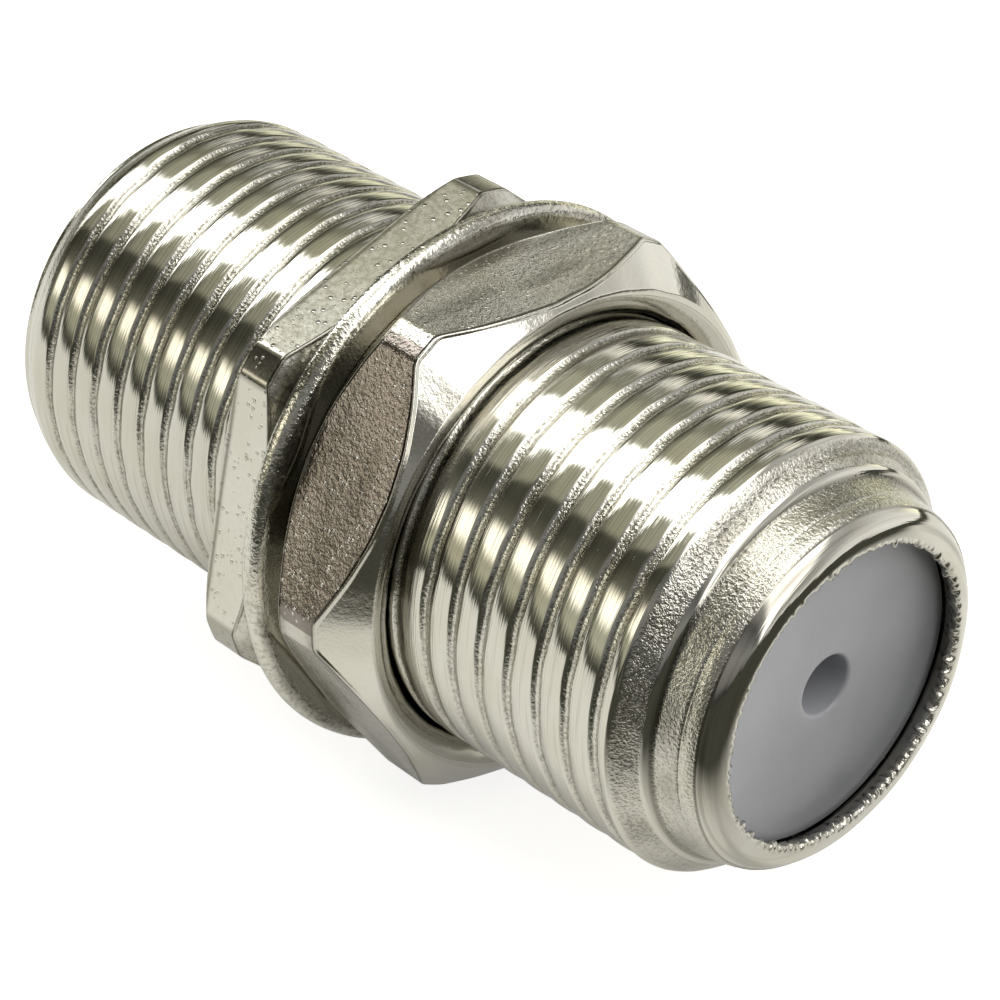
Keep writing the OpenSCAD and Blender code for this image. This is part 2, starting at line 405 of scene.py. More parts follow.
# %% [markdown]
# ## The short barrel
#
# The same thread on the other side of the flange, down to a chamfer at the end, an end
# wall with the round opening, and the bore inside. A mirrored copy of the long barrel
# would be quicker, but its thread would run the wrong way round.

# %% Short barrel
OPENING = 3.0  # radius of the opening in the end wall
END_WALL = 0.65  # thickness of the end wall
END_CHAMFER = 1.0  # length of the chamfer at the end
END_ROUND = 0.15  # radius of the end's outer edge


def far_barrel_mesh():
    """The short barrel, threaded outside, with its end wall and bore.

    The crest's radius falls in a smooth S over the end chamfer, where the thread fades.
    """
    thread = line([JOIN_X, CREST], [BACK_END + END_ROUND, CREST], 290)
    taper = smooth_step(BACK_END - 0.35, BACK_END + END_CHAMFER, thread[:, 0])
    thread[:, 1] = ROOT - 0.02 + (CREST - ROOT + 0.02) * taper
    edge = arc((BACK_END + END_ROUND, thread[-1, 1] - END_ROUND), END_ROUND, 90, 180, 6)
    inside = BACK_END + END_WALL
    wall = np.array([[BACK_END, 3.8], [BACK_END, 3.4], [BACK_END, OPENING + 0.12],
                     [BACK_END + 0.04, OPENING + 0.03], [BACK_END + 0.12, OPENING],
                     [inside - 0.05, OPENING], [inside, OPENING + 0.04],
                     [inside, BORE - 0.03], [inside + 0.05, BORE]])
    bore = line([inside + 0.4, BORE], [JOIN_X, BORE], 8)
    section = np.concatenate([thread, edge, wall, bore])
    theta = angles(280)
    x, r = turned(section, theta)
    outer = r > BORE + 0.3
    depth, groove, crease = thread_at(x, theta, FAR_GROOVE, 7)
    fade = smooth_step(BACK_END + 0.45, BACK_END + 1.1, x) * outer
    r = r - depth * fade + outer * 0.004 * waves(x, theta, 19, 24, 1.2, 12)
    # Painted shade in the grooves' crease, and the whole barrel a little darker
    return grid_mesh("short_barrel", revolve(x, r, theta), {
        "groove": groove * fade,
        "grain": 0.25 * (1 - fade),
        "lines": fade,
        "shade_and_soil": 0.4 * crease * fade + 0.1})


short_barrel = piece("short_barrel", far_barrel_mesh(), "body", "body")

# %% [markdown]
# ## Hex pieces
#
# A hex is also a turned surface whose radius depends on the angle: the apothem divided
# by the cosine of the angle to the nearest flat's middle. A turned chamfer then caps
# that radius, and a soft minimum of the two rounds the edge where they meet. Bevels on
# a six-sided cylinder can't give the curved edges that the chamfer leaves on the flats.

# %% Radius of a hex
def hex_radius(theta, middle_degrees, soft):
    """Radius of a hex with a flat's middle at the given angle and its corners turned.

    A smooth minimum of the flat, apothem / cos(angle to the flat's middle), and the
    corner's circle, which rounds the edge between them over the length soft.
    """
    away = (theta - math.radians(middle_degrees) + np.pi / 6) % (np.pi / 3) - np.pi / 6
    return soft_min(APOTHEM / np.cos(away), CORNER + 0 * theta, soft)


def hex_angles(count, middle_degrees):
    """Angles round the axis, set closer together near the six corners.

    Even angles are moved by a sine with six periods a turn, which crowds them where it
    falls fastest; its phase puts that at the corners, half way between the flats.
    """
    even = np.arange(count) / count * 2 * np.pi
    return (even + 0.125 * np.sin(6 * (even - math.radians(middle_degrees))))[None, :]


# %% Hex flange
FLANGE_MIDDLE = 90 + FLANGE_TURN  # angle to the middle of one flat, in degrees
FLANGE_SLOPE = 30.0  # slope of the flange's chamfer, in degrees from the face
BACK_R = 5.45  # radius where the back's soft edge starts
BACK_RISE = 0.7  # how far it rises
BACK_LENGTH = 0.2  # over this length along the axis
OUTSIDE = 9.0  # radius that marks section points which the hex shape replaces


def flange_mesh():
    """The flange: flats and corners, a chamfer towards the washer, a soft back edge.

    The radius is the soft minimum of the hex, the chamfer's cone and the back's edge,
    which rises as a square root from the back face. The edge attribute is the cone less
    the hex: zero on the edge between them, negative on the chamfer.
    """
    theta = hex_angles(540, FLANGE_MIDDLE)
    section = np.concatenate([
        [[0.0, 3.6], [0.0, 4.6], [0.0, 5.0], [0.0, 5.3]],
        line([0, OUTSIDE], [-0.6, OUTSIDE], 36), line([-0.6, OUTSIDE], [-FLANGE_T, OUTSIDE], 36),
        [[-FLANGE_T, OUTSIDE], [-FLANGE_T, 5.2], [-FLANGE_T, 4.6], [-FLANGE_T, 3.6]]])
    x, r = turned(section, theta)
    hex_r = hex_radius(theta, FLANGE_MIDDLE, 0.04) + 0.006 * waves(x, theta, 11, 20, 0.8, 16)
    cone = FACE - x / math.tan(math.radians(FLANGE_SLOPE)) + 0.012 * waves(x, theta, 12, 40, 1.0, 60)
    back = BACK_R + BACK_RISE * np.sqrt(np.clip((x + FLANGE_T) / BACK_LENGTH, 0, 1))
    outside = soft_min(soft_min(hex_r, cone, 0.05), back + 0.1, 0.06)
    edge = cone - hex_r
    corner = smooth_step(CORNER - 0.09, CORNER - 0.03, hex_r)
    front = smooth_step(0.03, -0.03, edge)
    # Painted shade and reflection: a dark line on the chamfer's edge, dark corners and a dark band by the
    # back face; the chamfer is darker in patches
    shade_and_soil = 0.75 * np.exp(-((edge - 0.02) / 0.03) ** 2) + 0.5 * corner * (1 - front)
    shade_and_soil = shade_and_soil + 0.45 * front * np.clip(0.5 + 0.6 * waves(x, theta, 13, 30, 1.5, 30), 0, 1)
    shade_and_soil = shade_and_soil + 0.7 * np.exp(-((x + FLANGE_T - 0.13) / 0.06) ** 2)
    r = np.where(r == OUTSIDE, outside, r)
    return grid_mesh("hex_flange", revolve(x, r, theta), {
        "edge": edge,
        "grain": 0.25 + 0.75 * front,
        "shade_and_soil": shade_and_soil,
        "droplets": smooth_step(0.05, 0.15, edge)})


hex_flange = piece("hex_flange", flange_mesh(), "body", "body")

# %% [markdown]
# ## Washer and nut
#
# The washer is stamped from sheet, so its rim is rounded. The nut is a hex with a
# chamfer and a countersink on both faces. A Screw modifier could lathe both, but the
# grid gives them small faults, and lets each flat of the nut carry its own painted shade.

# %% Washer
WASHER_BORE = 4.9525  # radius of the washer's hole
RIM_ROUND = 0.24  # radius that rounds its rim
HOLE_ROUND = 0.1  # radius that rounds its hole


def washer_mesh():
    """A flat ring whose rim and bore are rounded, the rim nearly to half its thickness.

    Its section is two lines and four arcs. Slow waves round the axis make the rim a
    little untrue. Painted shade lies in patches along the rim's two sides, where it meets
    the nut and the flange, and on the flat faces.
    """
    start, thick, outer = washer_low[0], washer_high[0] - washer_low[0], washer_high[1]
    inner, round_r = WASHER_BORE, RIM_ROUND
    section = np.concatenate([
        line([start, inner + HOLE_ROUND], [start, outer - round_r], 6),
        arc((start + round_r, outer - round_r), round_r, 180, 90, 10),
        arc((start + thick - round_r, outer - round_r), round_r, 90, 0, 10),
        line([start + thick, outer - round_r - 0.02], [start + thick, inner + HOLE_ROUND], 6),
        arc((start + thick - HOLE_ROUND, inner + HOLE_ROUND), HOLE_ROUND, 0, -90, 5),
        arc((start + HOLE_ROUND, inner + HOLE_ROUND), HOLE_ROUND, -90, -178, 5)])
    theta = angles(360)
    x, r = turned(section, theta)
    r = r + (0.01 * waves(0 * x, theta, 5, 12, 0.1, 9) - 0.01) * (r > 5.6)
    middle = np.abs(x - start - thick / 2) / (thick / 2)
    rim = r > outer - round_r - 0.01
    patchy = 0.6 + 0.5 * waves(x, theta, 6, 24, 1.0, 24)
    # Painted shade along the rim's sides and on the faces, where the nut and the flange shade the washer
    shade_and_soil = 0.45 * rim * smooth_step(0.6, 0.95, middle) * patchy + 0.5 * (1 - rim)
    return grid_mesh("washer_ring", revolve(x, r, theta), {
        "grain": 1.0 * (r > 5.9),
        "lines": 0.4,
        "shade_and_soil": shade_and_soil})


washer_ring = piece("washer_ring", washer_mesh(), "washer", "washer")

# %% Nut
NUT_BORE = 4.8125  # radius of the nut's bore, a running fit over the thread
SINK_WIDTH = 0.4  # how far the countersink widens the bore
SINK_DEPTH = 0.3  # how deep it goes
SINK_R = NUT_BORE + SINK_WIDTH
NUT_MIDDLE = 90.0  # angle to the middle of the nut's top flat, in degrees
FINE_END = 0.9  # the section is finer this far from each face
INSIDE = 4.0  # radius that marks section points which the bore's shape replaces
# Painted shade: how much darker brown each flat of the nut is painted
FLAT_SHADE = np.array([0.0, 0.85, 0.2, 0.5, 0.3, 0.45])  # from the top flat on, round the nut


def nut_mesh():
    """The nut: a chamfered hex outside, a countersunk bore with faint thread marks inside.

    Outside, the radius is the soft minimum of the hex and of a cone that rises as fast
    as the distance from the nearer face. Inside, the countersink widens as the square
    of its depth. Each flat has its own painted shade in brown, picked by its number round
    the nut. Painted shade also lies along the edges of the chamfers and in the bore, and
    soil in streaks on the flats.
    """
    start, end = nut_low[0], nut_high[0]
    theta = hex_angles(540, NUT_MIDDLE)
    section = np.concatenate([
        [[start, SINK_R + 0.02], [start, SINK_R + 0.1]],
        line([start, OUTSIDE], [start + FINE_END, OUTSIDE], 38),
        line([start + FINE_END, OUTSIDE], [end - FINE_END, OUTSIDE], 12),
        line([end - FINE_END, OUTSIDE], [end, OUTSIDE], 46),
        [[end, OUTSIDE], [end, SINK_R + 0.1], [end - 0.005, SINK_R + 0.02]],
        line([end - 0.02, INSIDE], [start + 0.02, INSIDE], 62)])
    x, r = turned(section, theta)
    hex_r = hex_radius(theta, NUT_MIDDLE, 0.05) + 0.007 * waves(x, theta, 21, 20, 0.5, 14)
    from_face = np.minimum(x - start, end - x)
    cone = FACE + from_face + 0.007 * waves(x, theta, 22, 30, 0.3, 40)
    edge = cone - hex_r
    outside = soft_min(hex_r, cone, 0.035)
    depth = thread_at(x, theta, NEAR_GROOVE, 23)[0]
    sink = NUT_BORE + SINK_WIDTH * np.clip(1 - from_face / SINK_DEPTH, 0, 1) ** 2
    sink = sink + 0.006 * waves(x, theta, 24, 30, 0.4, 50)
    inside = np.where(from_face < SINK_DEPTH, sink, np.maximum(sink, NUT_BORE - 0.8 * depth))
    r = np.where(r == OUTSIDE, outside, np.where(r == INSIDE, inside, r))
    out = r > SINK_R + 0.05
    flat = smooth_step(-0.02, 0.06, edge) * out
    number = np.round((np.degrees(theta) - NUT_MIDDLE) / 60).astype(int) % 6
    streaks = np.clip(0.3 * waves(x, theta, 25, 40, 1.6, 12), 0, 0.35)
    # Painted shade along the chamfers' edges and in the bore; the streaks on the flats are soil
    shade_and_soil = 0.7 * out * np.exp(-((edge - 0.03) / 0.025) ** 2) + streaks * flat + 0.3 * (1 - out)
    return grid_mesh("panel_nut", revolve(x, r, theta), {
        "edge": np.where(out, edge, 1.0),
        "grain": 0.25 + 0.75 * flat,
        "droplets": smooth_step(0.03, 0.1, edge) * out,
        "shade_and_soil": shade_and_soil,
        "painted_flat_shade": FLAT_SHADE[number] * flat})


panel_nut = piece("panel_nut", nut_mesh(), "nut", "nut")

# %% [markdown]
# ## Plastic faces
#
# Each insulator shows as a disc with a small guide hole. It could be a plain disc with
# a hole cut by a Boolean, but a turned section gives a face that dishes very slightly,
# a soft mouth, and a small ledge deep in the hole, where the contact waits.

# %% Insulators
GUIDE = 0.65  # radius of the guide holes
SLEEVE_ROOM = 1.4  # radius of the cavity round the contact's sleeve
COLLAR_ROOM = 2.15  # radius of the cavity round its collar


def insulator_mesh(name, face, seam, rim):
    """One insulator half: face with its guide hole, side wall, and the cavity inside.

    The face falls by a square law towards the hole, whose mouth is a quarter turn of an
    ellipse. way is 1 for a face that looks along +X and -1 for one that looks back.
    """
    way = 1 if face > seam else -1
    flat = line([face, rim - 0.05], [face, GUIDE + 0.08], 12)
    flat[:, 0] -= way * 0.03 * (1 - ((flat[:, 1] - GUIDE) / (rim - GUIDE)) ** 2)
    turn = np.radians(np.linspace(0, 90, 6))
    mouth = np.stack([0.03 + 0.08 * (1 - np.cos(turn)), GUIDE + 0.08 * (1 - np.sin(turn))], 1)
    hole = np.array([(0.85, GUIDE), (0.93, GUIDE - 0.05), (0.95, 0.38), (1.0, 0.32), (1.3, 0.28),
                     (1.31, SLEEVE_ROOM)])
    sunk = np.concatenate([mouth, hole])
    sunk[:, 0] = face - way * sunk[:, 0]
    section = np.concatenate([
        [[seam, rim], [face - way * 0.5, rim], [face - way * 0.06, rim]], flat, sunk,
        [[seam + way * 0.53, SLEEVE_ROOM], [seam + way * 0.53, COLLAR_ROOM], [seam, COLLAR_ROOM]]])
    theta = angles(160)
    x, r = turned(section, theta)
    return grid_mesh(name, revolve(x, r, theta))


near_plastic = piece("near_plastic", insulator_mesh("near_plastic", PLASTIC, face_low[0], face_high[1]),
                     "body", "front_insulator")
far_plastic = piece("far_plastic", insulator_mesh("far_plastic", rear_low[0], rear_high[0], rear_high[1]),
                    "body", "rear_insulator")

# %% [markdown]
# ## Materials
#
# Everything outside is nickel plate. What differs is the surface under the plating:
# tool lines, mould grain, rough grooves, drops of plating. How much of each a point has
# is kept on the mesh as named numbers, and the material turns them into one height for
# the bump. Two more numbers darken the colour. One is painted shade in creases, grooves,
# recesses, valleys of the grain and along edges, with real soil in patches, streaks and
# a stain. The other is painted shade in brown on the nut's flats, each flat darker by
# its own amount. An image could carry all this, but numbers on the mesh need no
# unwrapping and stay sharp.

# %% Colours of the metal
PLATE_WARM = (0.645, 0.625, 0.555, 1.0)  # clean plate drifts between these two
PLATE_COOL = (0.67, 0.66, 0.61, 1.0)
# Brown of the painted shade on the nut's flats
FLAT_SHADE_BROWN = (0.19, 0.158, 0.145, 1.0)
# Dark of the painted shade in creases, grooves, recesses, valleys and along edges, and of real soil
SHADE_AND_SOIL = (0.10, 0.092, 0.066, 1.0)


# %% Node helpers
def new_group(name, inputs, outputs):
    """An empty shader node group with named sockets, kept by its name."""
    group = bpy.data.node_groups.new(name, "ShaderNodeTree")
    for label, kind, value in inputs:
        made = group.interface.new_socket(label, in_out="INPUT", socket_type="NodeSocket" + kind)
        if value is not None:
            made.default_value = value
    for label, kind in outputs:
        group.interface.new_socket(label, in_out="OUTPUT", socket_type="NodeSocket" + kind)
    return group, group.nodes.new("NodeGroupInput"), group.nodes.new("NodeGroupOutput")


def feed(tree, node, sockets):
    """Sets inputs of a node: a number as its value, another node's socket as a link."""
    for key, value in sockets.items():
        if isinstance(value, bpy.types.NodeSocket):
            tree.links.new(value, node.inputs[key])
        else:
            node.inputs[key].default_value = value
    return node


def add(tree, kind, sockets=None, **settings):
    """A new node of a kind, with its settings and its inputs."""
    node = tree.nodes.new("ShaderNode" + kind)
    for key, value in settings.items():
        setattr(node, key, value)
    return feed(tree, node, sockets or {})


def calc(tree, operation, *values, clamp=False):
    """The output of a Math node fed by sockets or numbers."""
    return add(tree, "Math", dict(enumerate(values)), operation=operation, use_clamp=clamp).outputs[0]


def stretched(tree, point, scale):
    """The point in millimetres with each coordinate multiplied by its own scale."""
    node = add(tree, "VectorMath", {0: point, 1: [value / MM for value in scale]}, operation="MULTIPLY")
    return node.outputs[0]


def remap(tree, value, low, high, to_low, to_high, smooth=False):
    """The output of a clamped Map Range node."""
    kind = "SMOOTHSTEP" if smooth else "LINEAR"
    return add(tree, "MapRange", {"Value": value, "From Min": low, "From Max": high, "To Min": to_low,
                                  "To Max": to_high}, interpolation_type=kind).outputs[0]


def mixed(tree, share, first, second):
    """A colour between two colours or sockets."""
    return add(tree, "Mix", {"Factor": share, 6: first, 7: second}, data_type="RGBA").outputs[2]


# %% Tool lines
LINES_PER_MM = 24.0  # fine lines to a millimetre along the axis


def tool_lines_group():
    """Height of fine lines that run along the thread, from -0.5 to 0.5.

    The place along the helix, fraction of (x / pitch - angle / turn), drives fast noise,
    and the point itself, much slowed, lets the lines come and go round the barrel.
    """
    group, given, out = new_group("tool_lines", [
        ("Point", "Vector", None), ("Per mm", "Float", LINES_PER_MM)], [("Height", "Float")])
    parts = add(group, "SeparateXYZ", {0: given.outputs["Point"]})
    turn = calc(group, "ARCTAN2", parts.outputs["Z"], parts.outputs["Y"])
    turn = calc(group, "DIVIDE", turn, 2 * math.pi)
    along = calc(group, "DIVIDE", parts.outputs["X"], PITCH * MM)
    phase = calc(group, "FRACT", calc(group, "SUBTRACT", along, turn))
    fast = calc(group, "MULTIPLY", calc(group, "MULTIPLY", phase, PITCH), given.outputs["Per mm"])
    slow = stretched(group, given.outputs["Point"], (0.55, 0.4, 0.4))
    spot = add(group, "CombineXYZ", {"X": fast})
    place = add(group, "VectorMath", {0: spot.outputs[0], 1: slow}, operation="ADD")
    noise = add(group, "TexNoise", {"Vector": place.outputs[0], "Scale": 1.0, "Detail": 2.0,
                                    "Roughness": 0.55})
    group.links.new(calc(group, "SUBTRACT", noise.outputs["Fac"], 0.5), out.inputs["Height"])
    return group


# %% Cast grain
def cast_grain_group():
    """Height of an orange-peel surface, from about -0.5 to 0.5."""
    group, given, out = new_group("cast_grain", [("Point", "Vector", None), ("Per mm", "Float", 7.0)],
                                  [("Height", "Float")])
    point = stretched(group, given.outputs["Point"], (1, 1, 1))
    lumps = add(group, "TexNoise", {"Vector": point, "Scale": given.outputs["Per mm"], "Detail": 2.0,
                                    "Roughness": 0.65})
    group.links.new(calc(group, "SUBTRACT", lumps.outputs["Fac"], 0.5), out.inputs["Height"])
    return group


# %% Drops of plating
def droplets_group():
    """Height from 0 to 1 of round drops: the middle of some cells of a Voronoi pattern."""
    group, given, out = new_group("droplets", [("Point", "Vector", None), ("Per mm", "Float", 3.5),
                                               ("Size", "Float", 0.3)], [("Height", "Float")])
    cells = add(group, "TexVoronoi", {"Vector": stretched(group, given.outputs["Point"], (1, 1, 1)),
                                      "Scale": given.outputs["Per mm"]}, feature="F1")
    pick = add(group, "SeparateColor", {0: cells.outputs["Color"]})
    size = calc(group, "MULTIPLY", calc(group, "MULTIPLY_ADD", pick.outputs[0], 1.2, -0.25, clamp=True),
                given.outputs["Size"])
    share = calc(group, "DIVIDE", cells.outputs["Distance"], calc(group, "MAXIMUM", size, 0.001))
    dome = calc(group, "SUBTRACT", 1.0, calc(group, "MULTIPLY", share, share), clamp=True)
    group.links.new(calc(group, "MULTIPLY", calc(group, "SQRT", dome), size), out.inputs["Height"])
    return group


groups = {g.name: g for g in (tool_lines_group(), cast_grain_group(), droplets_group())}
print("groups", sorted(groups))


def grouped(tree, name, sockets):
    """One of the named groups, placed in a tree with its own values."""
    return feed(tree, add(tree, "Group", node_tree=groups[name]), sockets).outputs[0]


# %% Nickel
MICROMETRE = 1e-6


def nickel(name, grain, per_mm, rough, grain_rough, valley_shade_and_grime, lines=0.0, groove=0.0, drops=0.0,
           drop_mm=1.0, edge=0.0):
    """Nickel plate, from the numbers that the mesh keeps for each point.

    lines, grain, groove, drops and edge are heights in micrometres for a point whose
    own number is 1. per_mm and drop_mm are lumps and cells to a millimetre. rough is
    the plate's roughness, grain_rough what full grain adds, and the next number how dark
    the valleys of the grain are painted, as painted shade with some grime.
    """
    material = bpy.data.materials.new(name)
    material.use_nodes = True
    tree = material.node_tree
    shader = tree.nodes["Principled BSDF"]
    shader.inputs["Metallic"].default_value = 1.0
    point = add(tree, "TexCoord").outputs["Object"]

    def own(label):
        return add(tree, "Attribute", attribute_name=label).outputs["Fac"]

    lump = grouped(tree, "cast_grain", {"Point": point, "Per mm": per_mm})
    # Painted shade in the valleys of the grain, which the bump doesn't shade, with some grime
    valley = remap(tree, lump, -0.14, 0.04, valley_shade_and_grime, 0.0, smooth=True)
    uneven = calc(tree, "ADD", own("grain"), own("groove"), clamp=True)
    shade_and_soil = calc(tree, "MULTIPLY_ADD", valley, uneven, own("shade_and_soil"))
    roughness = remap(tree, lump, -0.2, 0.2, rough * 0.8, rough * 1.25)
    amount = calc(tree, "MULTIPLY", own("grain"), grain)
    roughness = calc(tree, "MULTIPLY_ADD", own("grain"), grain_rough, roughness)
    if groove:
        amount = calc(tree, "MULTIPLY_ADD", own("groove"), groove, amount)
        roughness = calc(tree, "MULTIPLY_ADD", own("groove"), 0.05, roughness)
    height = calc(tree, "MULTIPLY", lump, amount)
    if lines:
        scored = grouped(tree, "tool_lines", {"Point": point, "Per mm": LINES_PER_MM})
        height = calc(tree, "MULTIPLY_ADD", scored, calc(tree, "MULTIPLY", own("lines"), lines), height)
        # Painted shade in the low parts of the tool lines
        dark_line = remap(tree, scored, -0.16, -0.02, 0.2, 0.0, smooth=True)
        shade_and_soil = calc(tree, "MULTIPLY_ADD", dark_line, own("lines"), shade_and_soil)
    # Painted shade in brown on the nut's flats, left off the drops so that they still shine
    painted_flat_shade = own("painted_flat_shade")
    if drops:
        dropped = grouped(tree, "droplets", {"Point": point, "Per mm": drop_mm, "Size": 0.42})
        height = calc(tree, "MULTIPLY_ADD", dropped, calc(tree, "MULTIPLY", own("droplets"), drops), height)
        painted_flat_shade = calc(tree, "MULTIPLY", painted_flat_shade, remap(tree, dropped, 0.0, 0.06, 1.0, 0.0))
    if edge:
        close = remap(tree, calc(tree, "ABSOLUTE", own("edge")), 0.0, 0.08, 1.0, 0.0, smooth=True)
        height = calc(tree, "MULTIPLY_ADD", close, edge, height)
    bump = add(tree, "Bump", {"Height": height, "Strength": 1.0, "Distance": MICROMETRE})
    tree.links.new(bump.outputs[0], shader.inputs["Normal"])
    cloud = add(tree, "TexNoise", {"Vector": stretched(tree, point, (0.8, 0.8, 0.8)), "Scale": 1.0,
                                   "Detail": 1.0})
    colour = mixed(tree, remap(tree, cloud.outputs["Fac"], 0.35, 0.65, 0.0, 1.0), PLATE_WARM, PLATE_COOL)
    colour = mixed(tree, painted_flat_shade, colour, FLAT_SHADE_BROWN)
    colour = mixed(tree, shade_and_soil, colour, SHADE_AND_SOIL)
    tree.links.new(colour, shader.inputs["Base Color"])
    tree.links.new(roughness, shader.inputs["Roughness"])
    return material


barrel_nickel = nickel("nickel_barrel", grain=34.0, per_mm=14.0, rough=0.08, grain_rough=0.0, valley_shade_and_grime=0.35,
                       lines=7.0, groove=18.0)
flange_nickel = nickel("nickel_flange", grain=6.0, per_mm=9.0, rough=0.14, grain_rough=0.08, valley_shade_and_grime=0.2,
                       drops=110.0, drop_mm=6.5, edge=16.0)
washer_nickel = nickel("nickel_washer", grain=19.0, per_mm=9.0, rough=0.11, grain_rough=0.03, valley_shade_and_grime=0.3,
                       lines=4.0)
nut_nickel = nickel("nickel_nut", grain=17.0, per_mm=10.0, rough=0.12, grain_rough=0.06, valley_shade_and_grime=0.12,
                    drops=80.0, drop_mm=9.0, edge=42.0)
for shown, finish in ((long_barrel, barrel_nickel), (rolled_lip, barrel_nickel),
                      (short_barrel, barrel_nickel), (hex_flange, flange_nickel),
                      (washer_ring, washer_nickel), (panel_nut, nut_nickel)):
    shown.data.materials.append(finish)
    print(shown.name, "wears", finish.name)


# %% [markdown]
# ## Plastic and brass
#
# The insulators are moulded in a natural, slightly see-through plastic: some of the
# light goes in and comes out near by, which Subsurface Weight does. Its colour is
# painted darker from one side of the axis to the other, as painted shade, and clouded
# slowly. The contact deep inside is brass; it keeps its imported shape and only gets
# the finish, with the same painted shade across it.

# %% Plastic and brass
# Lit and shaded colours of the plastic and of the brass, across which the painted shade runs
PLASTIC_LIT = (0.575, 0.585, 0.635)
PLASTIC_SHADED = (0.226, 0.232, 0.25)
BRASS_LIT = (0.78, 0.6, 0.33)
BRASS_SHADED = (0.7, 0.53, 0.28)
SCATTER = 0.5  # how far light spreads inside the plastic, in mm


def plain_material(name, colour, shaded_colour, roughness, metallic=0.0, subsurface=0.0):
    """One finish with a fine grain, its colour clouded and painted darker across the part.

    The painted shade follows y - z of the point, from the lit colour on one side of the
    axis to the shaded colour on the other.
    """
    material = bpy.data.materials.new(name)
    material.use_nodes = True
    tree = material.node_tree
    shader = tree.nodes["Principled BSDF"]
    shader.inputs["Metallic"].default_value = metallic
    shader.inputs["Roughness"].default_value = roughness
    shader.inputs["Subsurface Weight"].default_value = subsurface
    shader.inputs["Subsurface Radius"].default_value = (1.0, 1.0, 1.0)
    shader.inputs["Subsurface Scale"].default_value = SCATTER * MM
    point = add(tree, "TexCoord").outputs["Object"]
    cloud = add(tree, "TexNoise", {"Vector": stretched(tree, point, (0.6, 0.6, 0.6)), "Scale": 1.0,
                                   "Detail": 3.0})
    parts = add(tree, "SeparateXYZ", {0: point})
    # Painted shade: the colour darkens from one side of the axis to the other
    across = calc(tree, "SUBTRACT", parts.outputs["Y"], parts.outputs["Z"])
    painted_shade_drift = remap(tree, across, -4.0 * MM, 4.2 * MM, -0.15, 1.0)
    share = calc(tree, "MULTIPLY_ADD", cloud.outputs["Fac"], 0.3, painted_shade_drift, clamp=True)
    tree.links.new(mixed(tree, share, colour + (1.0,), shaded_colour + (1.0,)), shader.inputs["Base Color"])
    lump = grouped(tree, "cast_grain", {"Point": point, "Per mm": 6.0})
    bump = add(tree, "Bump", {"Height": lump, "Strength": 1.0, "Distance": 4 * MICROMETRE})
    tree.links.new(bump.outputs[0], shader.inputs["Normal"])
    return material


plastic = plain_material("natural_plastic", PLASTIC_LIT, PLASTIC_SHADED, 0.33, subsurface=0.4)
brass = plain_material("contact_brass", BRASS_LIT, BRASS_SHADED, 0.25, metallic=1.0)
near_plastic.data.materials.append(plastic)
far_plastic.data.materials.append(plastic)
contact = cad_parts["contact"]
contact.data.materials.clear()
contact.data.materials.append(brass)
print("materials", sorted(material.name for material in bpy.data.materials))

# %% [markdown]
# ## Studio
#
# Polished metal shows its surroundings, so the light is a room: soft lamps, a pale
# ceiling and dark gaps between them. It could be built from area lamps and panels. Here
# it is painted on the world by direction, in two numbers that suit a turned part: the
# angle round the part's axis, and how far the direction leans along it. Each lamp then
# lands as a bright band just where it is wanted on the thread.

# %% Room
def window_group():
    """1 inside a range of angle (degrees) and lean, 0 outside, with soft edges."""
    group, given, out = new_group("window", [
        ("Angle", "Float", 0.0), ("Lean", "Float", 0.0), ("Middle", "Float", 90.0), ("Half", "Float", 10.0),
        ("Soft", "Float", 2.0), ("Lean middle", "Float", -0.6), ("Lean half", "Float", 0.2),
        ("Lean soft", "Float", 0.05)], [("Mask", "Float")])
    masks = []
    for names in (("Angle", "Middle", "Half", "Soft"), ("Lean", "Lean middle", "Lean half", "Lean soft")):
        value, middle, half, soft = (given.outputs[name] for name in names)
        away = calc(group, "ABSOLUTE", calc(group, "SUBTRACT", value, middle))
        full, gone = calc(group, "SUBTRACT", half, soft), calc(group, "ADD", half, soft)
        masks.append(remap(group, away, full, gone, 1.0, 0.0, smooth=True))
    group.links.new(calc(group, "MULTIPLY", *masks), out.inputs["Mask"])
    return group


groups["window"] = window_group()

# Each lamp: angle, half angle, soft, lean, half lean, soft, colour, strength
LAMPS = [
    (94.0, 11.0, 1.5, -0.52, 0.26, 0.03, (1.0, 1.0, 0.97), 4.0),
    (92.5, 16.5, 2.0, -0.85, 0.15, 0.03, (1.0, 1.0, 0.97), 4.0),
    (156.0, 7.0, 4.0, -0.52, 0.22, 0.10, (1.0, 0.95, 0.80), 2.2),
    (38.5, 5.5, 3.0, -0.45, 0.12, 0.04, (1.0, 0.97, 0.86), 1.25),
    (40.0, 10.0, 6.0, -0.635, 0.025, 0.03, (1.0, 1.0, 0.95), 1.4),
]
# Angle in degrees, and the grey there, for directions that lean back along the part
SIDE = [(0, 1.8), (7, 1.4), (14, 0.42), (22, 0.05), (37, 0.08), (48, 0.27), (60, 0.32), (63, 0.52),
        (80, 0.52), (104, 0.46), (124, 0.42), (126.5, 0.08), (135, 0.08), (140, 0.12), (148, 0.2),
        (166, 0.5), (173, 0.6), (178, 0.17), (187, 0.15), (191, 0.5)]
# The same for directions out to its front
FRONT = [(0, 1.2), (10, 1.1), (26, 0.8), (45, 0.5), (60, 0.6), (67, 2.8), (106, 2.8), (115, 0.5),
         (128, 0.12), (150, 0.3), (168, 0.22), (176, 0.05), (187, 0.05), (194, 0.4)]
SIDE_BLUE = 0.74  # blue of the room's sides, as a share of their red
FRONT_BLUE = 0.95
ROOM_START = -20.0  # angle where the ramps start and end, behind the floor, in degrees
FAR_GREY = (0.03, 0.028, 0.02, 1.0)

